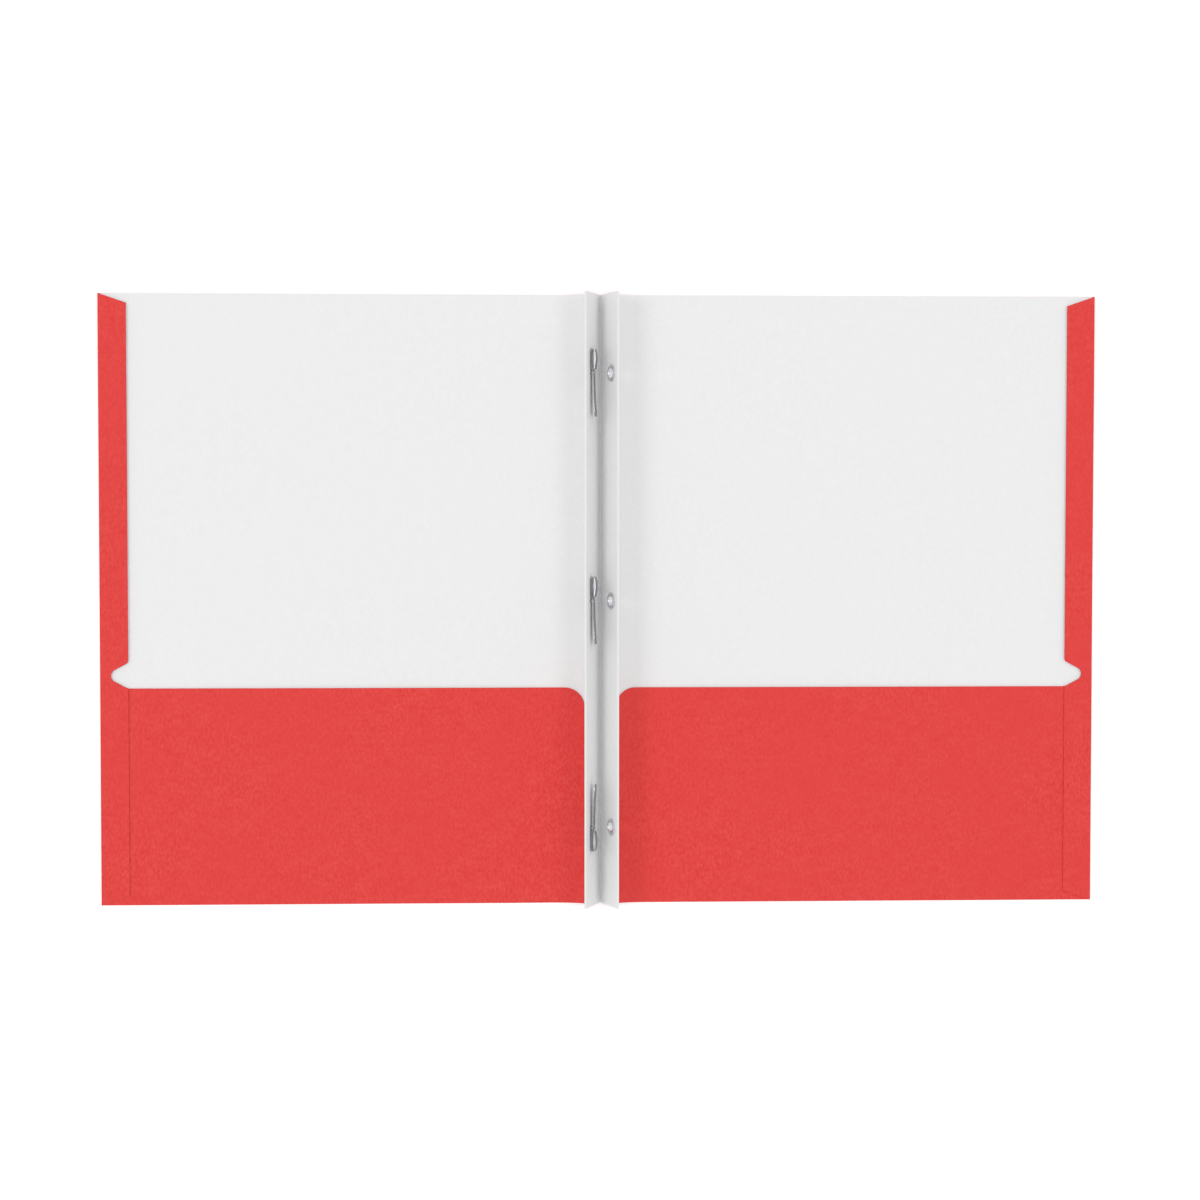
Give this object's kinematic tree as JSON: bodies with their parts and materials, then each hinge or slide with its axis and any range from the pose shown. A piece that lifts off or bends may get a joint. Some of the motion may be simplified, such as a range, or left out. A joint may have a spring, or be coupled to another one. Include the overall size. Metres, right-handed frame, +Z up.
{
  "type": "paper folder",
  "caption": "Two-pocket card folder lying open, with a double-fin spine, bent metal tang fasteners, eyelets, and side flaps folded in over the pockets.",
  "frame": {"origin": "under the middle of the open folder, on the surface it lies on", "axes": "+X across the open folder to the back cover's outer edge, +Y to the top edge, +Z up out of the white inside"},
  "size_m": [0.4776, 0.2922, 0.0191],
  "materials": {
    "card": "matte red card outside, white inside",
    "tang": "plated sheet steel",
    "eyelet": "bright plated"
  },
  "bodies": {
    "back_cover": {"right_cover": "card", "right_pocket": "card", "right_side_flap": "card"},
    "back_cover_edge": {"right_cover_edge": "card", "right_pocket_edge": "card"},
    "back_fin": {"right_fin": "card", "top_eyelet": "eyelet", "middle_eyelet": "eyelet", "bottom_eyelet": "eyelet"},
    "front_fin": {"left_fin": "card", "top_tang_saddle": "tang", "middle_tang_saddle": "tang", "bottom_tang_saddle": "tang"},
    "front_cover_edge": {"left_cover_edge": "card", "left_pocket_edge": "card"},
    "front_cover": {"left_cover": "card", "left_pocket": "card", "left_side_flap": "card"},
    "top_curled_tang": {"top_curled_tang": "tang"},
    "top_straight_tang": {"top_straight_tang": "tang"},
    "middle_curled_tang": {"middle_curled_tang": "tang"},
    "middle_straight_tang": {"middle_straight_tang": "tang"},
    "bottom_curled_tang": {"bottom_curled_tang": "tang"},
    "bottom_straight_tang": {"bottom_straight_tang": "tang"}
  },
  "joints": [
    {"name": "back_soft_bend", "type": "hinge", "parent": "back_cover", "child": "back_cover_edge", "pos_m": [0.01538, 0, 0.00095], "axis": [0, 1, 0], "range_deg": [-10.9, 0]},
    {"name": "back_spine_crease", "type": "hinge", "parent": "back_cover_edge", "child": "back_fin", "pos_m": [0.0037, 0, 0.00512], "axis": [0, 1, 0], "range_deg": [0, 88.1]},
    {"name": "valley_crease", "type": "hinge", "parent": "back_fin", "child": "front_fin", "pos_m": [0, 0, 0.00065], "axis": [0, 1, 0], "range_deg": [0, 27]},
    {"name": "front_spine_crease", "type": "hinge", "parent": "front_fin", "child": "front_cover_edge", "pos_m": [-0.0037, 0, 0.00512], "axis": [0, 1, 0], "range_deg": [0, 88.1]},
    {"name": "front_soft_bend", "type": "hinge", "parent": "front_cover_edge", "child": "front_cover", "pos_m": [-0.01538, 0, 0.00095], "axis": [0, 1, 0], "range_deg": [-10.9, 0]},
    {"name": "top_curled_tang_bend", "type": "hinge", "parent": "front_fin", "child": "top_curled_tang", "pos_m": [-0.00348, 0.10865, 0.01292], "axis": [-0.3584, 0, 0.9336], "range_deg": [-25, 0]},
    {"name": "top_straight_tang_bend", "type": "hinge", "parent": "front_fin", "child": "top_straight_tang", "pos_m": [-0.00348, 0.10725, 0.01292], "axis": [0.3584, 0, -0.9336], "range_deg": [-25, 0]},
    {"name": "middle_curled_tang_bend", "type": "hinge", "parent": "front_fin", "child": "middle_curled_tang", "pos_m": [-0.00348, 0.0007, 0.01292], "axis": [-0.3584, 0, 0.9336], "range_deg": [-25, 0]},
    {"name": "middle_straight_tang_bend", "type": "hinge", "parent": "front_fin", "child": "middle_straight_tang", "pos_m": [-0.00348, -0.0007, 0.01292], "axis": [0.3584, 0, -0.9336], "range_deg": [-25, 0]},
    {"name": "bottom_curled_tang_bend", "type": "hinge", "parent": "front_fin", "child": "bottom_curled_tang", "pos_m": [-0.00348, -0.10865, 0.01292], "axis": [0.3584, 0, -0.9336], "range_deg": [-25, 0]},
    {"name": "bottom_straight_tang_bend", "type": "hinge", "parent": "front_fin", "child": "bottom_straight_tang", "pos_m": [-0.00348, -0.10725, 0.01292], "axis": [-0.3584, 0, 0.9336], "range_deg": [-25, 0]}
  ],
  "couplings": [
    {"joint": "back_soft_bend", "follows": "back_spine_crease", "ratio": -0.1226},
    {"joint": "front_soft_bend", "follows": "front_spine_crease", "ratio": -0.1226}
  ]
}
